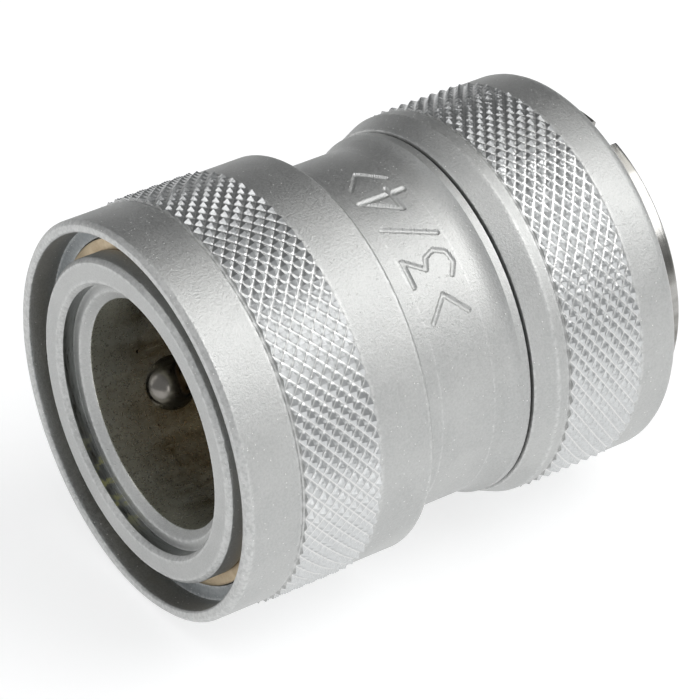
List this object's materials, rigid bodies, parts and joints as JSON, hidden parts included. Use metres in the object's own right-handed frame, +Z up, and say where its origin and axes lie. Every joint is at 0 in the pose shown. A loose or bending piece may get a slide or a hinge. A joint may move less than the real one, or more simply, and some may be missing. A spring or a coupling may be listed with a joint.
{
  "type": "quick disconnect coupler",
  "caption": "Female quick disconnect coupler with a sprung knurled locking sleeve, locking balls, shut-off valve and a threaded hose end.",
  "frame": {"origin": "on the coupler's axis, at the front edge of the socket bore, where the mating plug enters", "axes": "Y along the axis: the mouth faces -Y and the hose thread faces +Y; +Z up; the locking balls stand off the axes by 28 degrees"},
  "size_m": [0.0406, 0.0529, 0.0406],
  "materials": {
    "satin_nickel": "bead-blasted satin nickel plate on brass",
    "bright_nickel": "bright turned nickel plate on brass",
    "bare_brass": "bare turned brass",
    "ball_steel": "polished hardened steel",
    "spring_steel": "drawn spring wire and pressed steel",
    "black_rubber": "matte nitrile rubber",
    "white_plastic": "matte white plastic",
    "fibre_gasket": "red vulcanised fibre"
  },
  "bodies": {
    "body": {"socket_body": "satin_nickel", "stop_ring": "bare_brass", "sleeve_spring": "spring_steel", "plug_seal": "black_rubber", "seal_backup_ring": "white_plastic", "valve_seat": "bare_brass", "valve_spring": "spring_steel", "valve_guide": "bare_brass", "nut_seal": "black_rubber", "knurled_nut": "satin_nickel", "rear_gasket": "fibre_gasket", "thread_insert": "bright_nickel", "hose_washer": "black_rubber"},
    "sleeve": {"locking_sleeve": "satin_nickel", "spring_seat": "spring_steel"},
    "valve": {"valve_cap": "bare_brass", "valve_seal": "black_rubber", "valve_poppet": "bare_brass"},
    "ball_1": {"locking_ball_1": "ball_steel"},
    "ball_2": {"locking_ball_2": "ball_steel"},
    "ball_3": {"locking_ball_3": "ball_steel"},
    "ball_4": {"locking_ball_4": "ball_steel"}
  },
  "joints": [
    {"name": "sleeve_slide", "type": "slide", "parent": "body", "child": "sleeve", "axis": [0, 1, 0], "range_m": [0, 0.0035], "stiffness_N_per_m": 2500, "springref_m": -0.004, "deforming": ["sleeve_spring"]},
    {"name": "valve_slide", "type": "slide", "parent": "body", "child": "valve", "axis": [0, 1, 0], "range_m": [0, 0.0045], "stiffness_N_per_m": 900, "springref_m": -0.004, "deforming": ["valve_spring"]},
    {"name": "ball_slide_1", "type": "slide", "parent": "body", "child": "ball_1", "axis": [-0.8829, 0, -0.4695], "range_m": [0, 0.00175]},
    {"name": "ball_slide_2", "type": "slide", "parent": "body", "child": "ball_2", "axis": [0.4695, 0, -0.8829], "range_m": [0, 0.00175]},
    {"name": "ball_slide_3", "type": "slide", "parent": "body", "child": "ball_3", "axis": [0.8829, 0, 0.4695], "range_m": [0, 0.00175]},
    {"name": "ball_slide_4", "type": "slide", "parent": "body", "child": "ball_4", "axis": [-0.4695, 0, 0.8829], "range_m": [0, 0.00175]}
  ],
  "couplings": [
    {"joint": "ball_slide_1", "follows": "sleeve_slide", "ratio": 0.5},
    {"joint": "ball_slide_2", "follows": "sleeve_slide", "ratio": 0.5},
    {"joint": "ball_slide_3", "follows": "sleeve_slide", "ratio": 0.5},
    {"joint": "ball_slide_4", "follows": "sleeve_slide", "ratio": 0.5}
  ]
}
